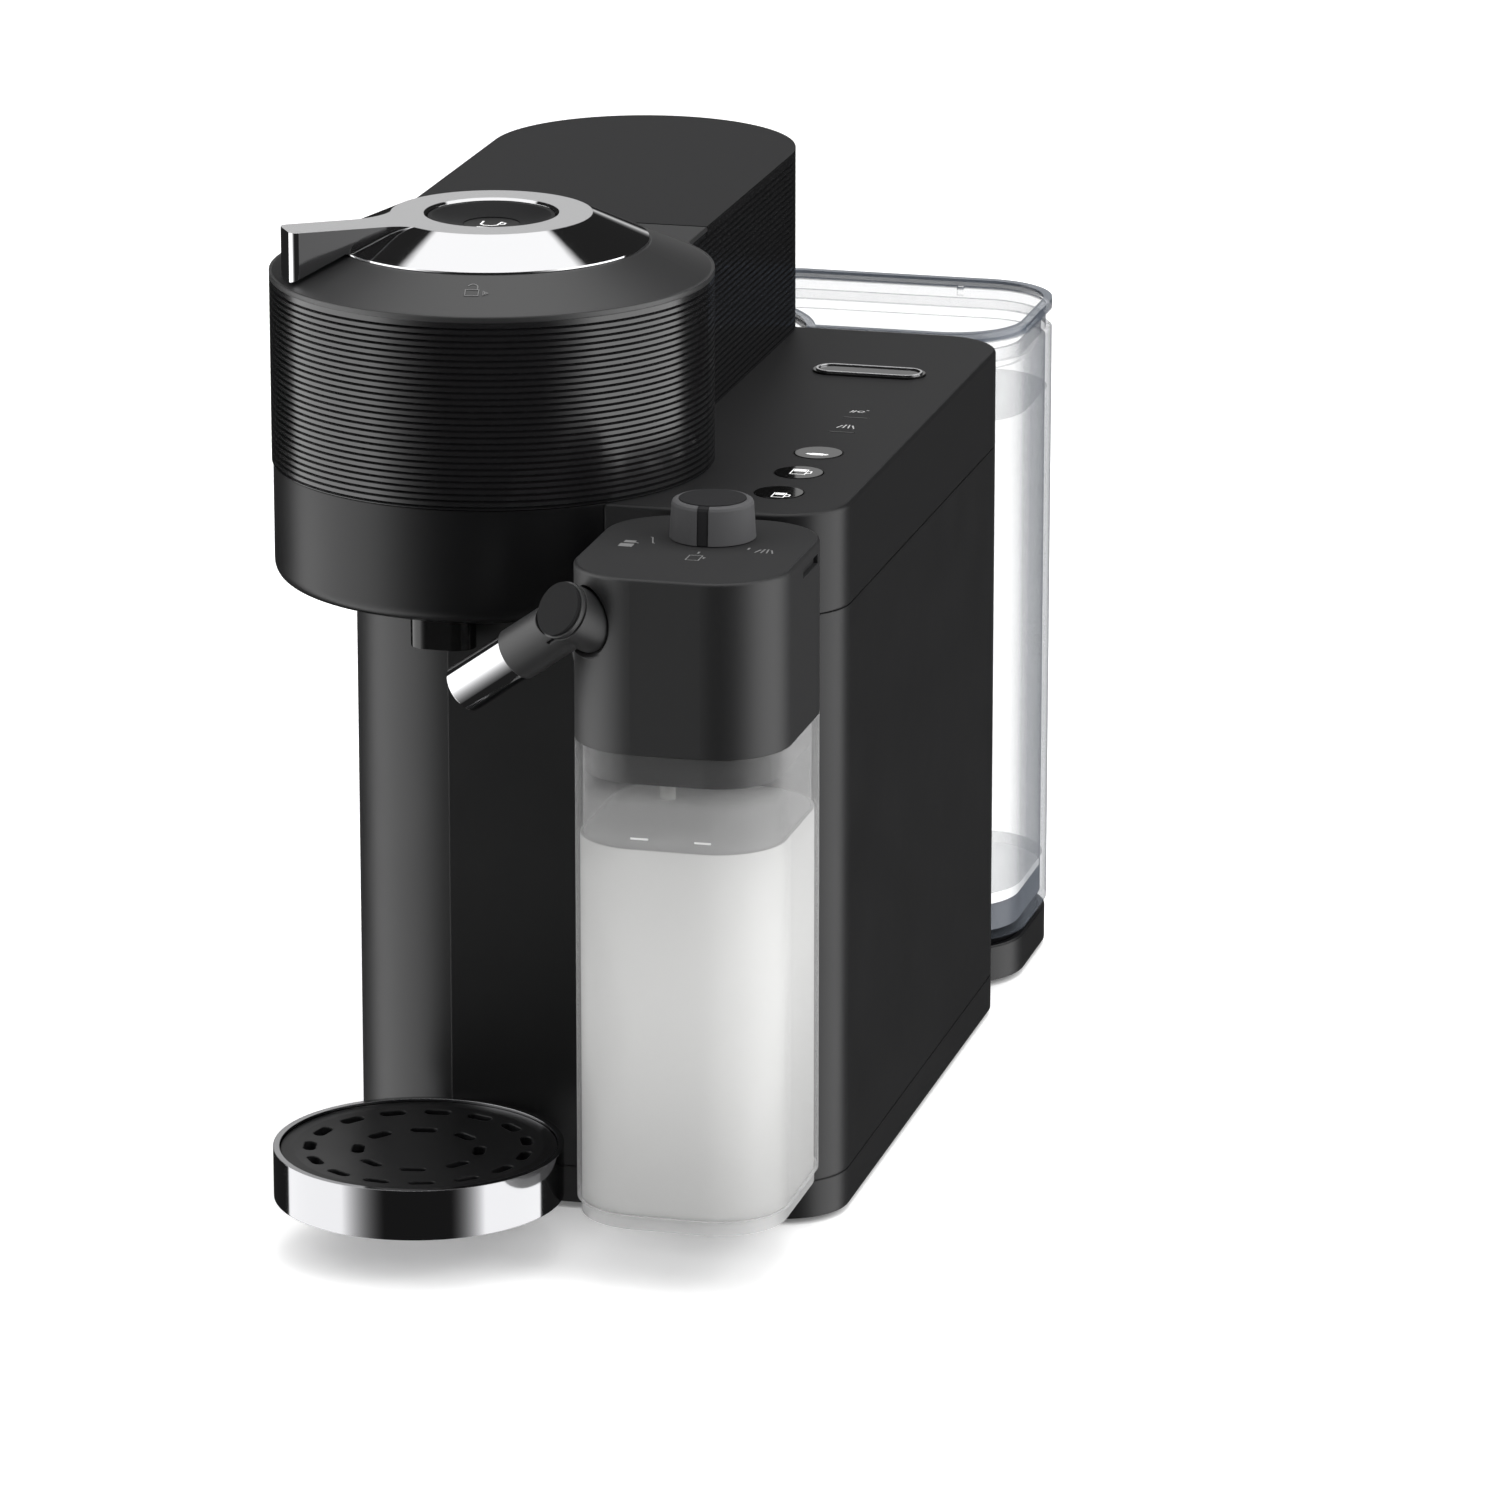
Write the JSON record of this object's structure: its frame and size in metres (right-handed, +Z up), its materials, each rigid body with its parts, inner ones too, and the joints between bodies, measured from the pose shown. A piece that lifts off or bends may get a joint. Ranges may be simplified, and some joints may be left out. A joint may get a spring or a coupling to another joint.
{
  "type": "capsule coffee machine",
  "caption": "Capsule coffee machine with ribbed drum head, turning lever ring, cup stand, detachable milk carafe with spout, clear water tank and used-capsule bin.",
  "frame": {"origin": "centre of the outline's box, at the height of the surface that the feet stand on", "axes": "+Z up, front towards -Y, +X to the right seen from the front"},
  "size_m": [0.2055, 0.4472, 0.3278],
  "materials": {
    "black_shell": "matte",
    "gloss_black": "gloss",
    "chrome_trim": "polished",
    "steel_part": "satin",
    "cast_heater": "cast",
    "clear_tank": "clear",
    "clear_jug": "clear",
    "rubber": "matte",
    "soft_grey": "soft",
    "dark_insert": "satin",
    "white_plastic": "satin",
    "board_green": "satin"
  },
  "bodies": {
    "housing": {"rubber_feet": "rubber", "base_tray": "black_shell", "tank_pedestal": "black_shell", "side_casing": "black_shell", "column_shell": "black_shell", "deck_cover": "black_shell", "head_base": "black_shell", "rear_cover": "black_shell", "hinge_pin": "steel_part", "coffee_nozzle": "gloss_black", "badge_plate": "gloss_black", "badge_rim": "chrome_trim", "indicator_bars": "gloss_black", "switch_board": "board_green", "spinner_motor": "steel_part", "thermoblock": "cast_heater", "pump": "white_plastic", "control_board": "board_green", "coffee_hose": "white_plastic", "water_hose": "white_plastic", "steam_valve": "cast_heater", "steam_nozzle": "chrome_trim", "carafe_dock": "black_shell", "tank_spigot": "soft_grey", "bin_liner": "black_shell", "cord_gland": "rubber"},
    "head": {"head_cap": "black_shell", "head_skirt": "black_shell", "brew_plate": "black_shell", "piercing_pin": "steel_part", "head_seal": "rubber"},
    "lever": {"lever_ring": "chrome_trim"},
    "brew_key": {"brew_button": "gloss_black", "button_lens": "gloss_black"},
    "small_cup_key": {"cup_button_small": "gloss_black"},
    "medium_cup_key": {"cup_button_medium": "gloss_black"},
    "large_cup_key": {"cup_button_large": "gloss_black"},
    "spinner": {"capsule_cup": "steel_part"},
    "stand": {"stand_ring": "chrome_trim", "drip_tray": "black_shell"},
    "grid": {"drip_grid": "black_shell"},
    "bin": {"capsule_bin": "black_shell"},
    "tank": {"tank_body": "clear_tank", "tank_valve": "black_shell", "tank_foot": "black_shell"},
    "tank_cover": {"tank_lid": "clear_tank"},
    "carafe": {"carafe_lid": "black_shell", "spout_pivot": "soft_grey", "lid_plug": "black_shell", "suction_tube": "white_plastic"},
    "milk_jug": {"milk_container": "clear_jug"},
    "dial": {"froth_knob": "soft_grey", "knob_insert": "dark_insert", "knob_shaft": "steel_part"},
    "spout": {"spout_elbow": "black_shell", "spout_cap": "black_shell", "spout_tube": "chrome_trim"}
  },
  "joints": [
    {"name": "head_hinge", "type": "hinge", "parent": "housing", "child": "head", "pos_m": [-0.02875, -0.0004, 0.3075], "axis": [-1, 0, 0], "range_deg": [0, 55]},
    {"name": "lever_turn", "type": "hinge", "parent": "head", "child": "lever", "pos_m": [-0.02875, -0.0754, 0.32], "axis": [0, 0, 1], "range_deg": [0, 40]},
    {"name": "brew_press", "type": "slide", "parent": "head", "child": "brew_key", "axis": [0, 0, -1], "range_m": [0, 0.0015], "stiffness_N_per_m": 400, "springref_m": -0.001},
    {"name": "small_cup_press", "type": "slide", "parent": "housing", "child": "small_cup_key", "axis": [0, 0, -1], "range_m": [0, 0.001], "stiffness_N_per_m": 300, "springref_m": -0.001},
    {"name": "medium_cup_press", "type": "slide", "parent": "housing", "child": "medium_cup_key", "axis": [0, 0, -1], "range_m": [0, 0.001], "stiffness_N_per_m": 300, "springref_m": -0.001},
    {"name": "large_cup_press", "type": "slide", "parent": "housing", "child": "large_cup_key", "axis": [0, 0, -1], "range_m": [0, 0.001], "stiffness_N_per_m": 300, "springref_m": -0.001},
    {"name": "capsule_spin", "type": "hinge", "parent": "housing", "child": "spinner", "pos_m": [-0.02875, -0.0754, 0.2], "axis": [0, 0, 1], "continuous": true},
    {"name": "stand_pull", "type": "slide", "parent": "housing", "child": "stand", "axis": [0, -1, 0], "range_m": [0, 0.06]},
    {"name": "grid_lift", "type": "slide", "parent": "stand", "child": "grid", "axis": [0, 0, 1], "range_m": [0, 0.03]},
    {"name": "bin_pull", "type": "slide", "parent": "housing", "child": "bin", "axis": [0, 1, 0], "range_m": [0, 0.12]},
    {"name": "tank_lift", "type": "slide", "parent": "housing", "child": "tank", "axis": [0, 0, 1], "range_m": [0, 0.12]},
    {"name": "tank_lid_lift", "type": "slide", "parent": "tank", "child": "tank_cover", "axis": [0, 0, 1], "range_m": [0, 0.04]},
    {"name": "carafe_pull", "type": "slide", "parent": "housing", "child": "carafe", "axis": [0, -1, 0], "range_m": [0, 0.06]},
    {"name": "jug_drop", "type": "slide", "parent": "carafe", "child": "milk_jug", "axis": [0, 0, -1], "range_m": [0, 0.02]},
    {"name": "froth_turn", "type": "hinge", "parent": "carafe", "child": "dial", "pos_m": [0.06725, -0.1544, 0.243], "axis": [0, 0, 1], "range_deg": [-65, 52]},
    {"name": "spout_swivel", "type": "hinge", "parent": "carafe", "child": "spout", "pos_m": [0.03875, -0.2054, 0.2265], "axis": [-0.5064, -0.7233, 0.4695], "range_deg": [-25, 20]}
  ]
}
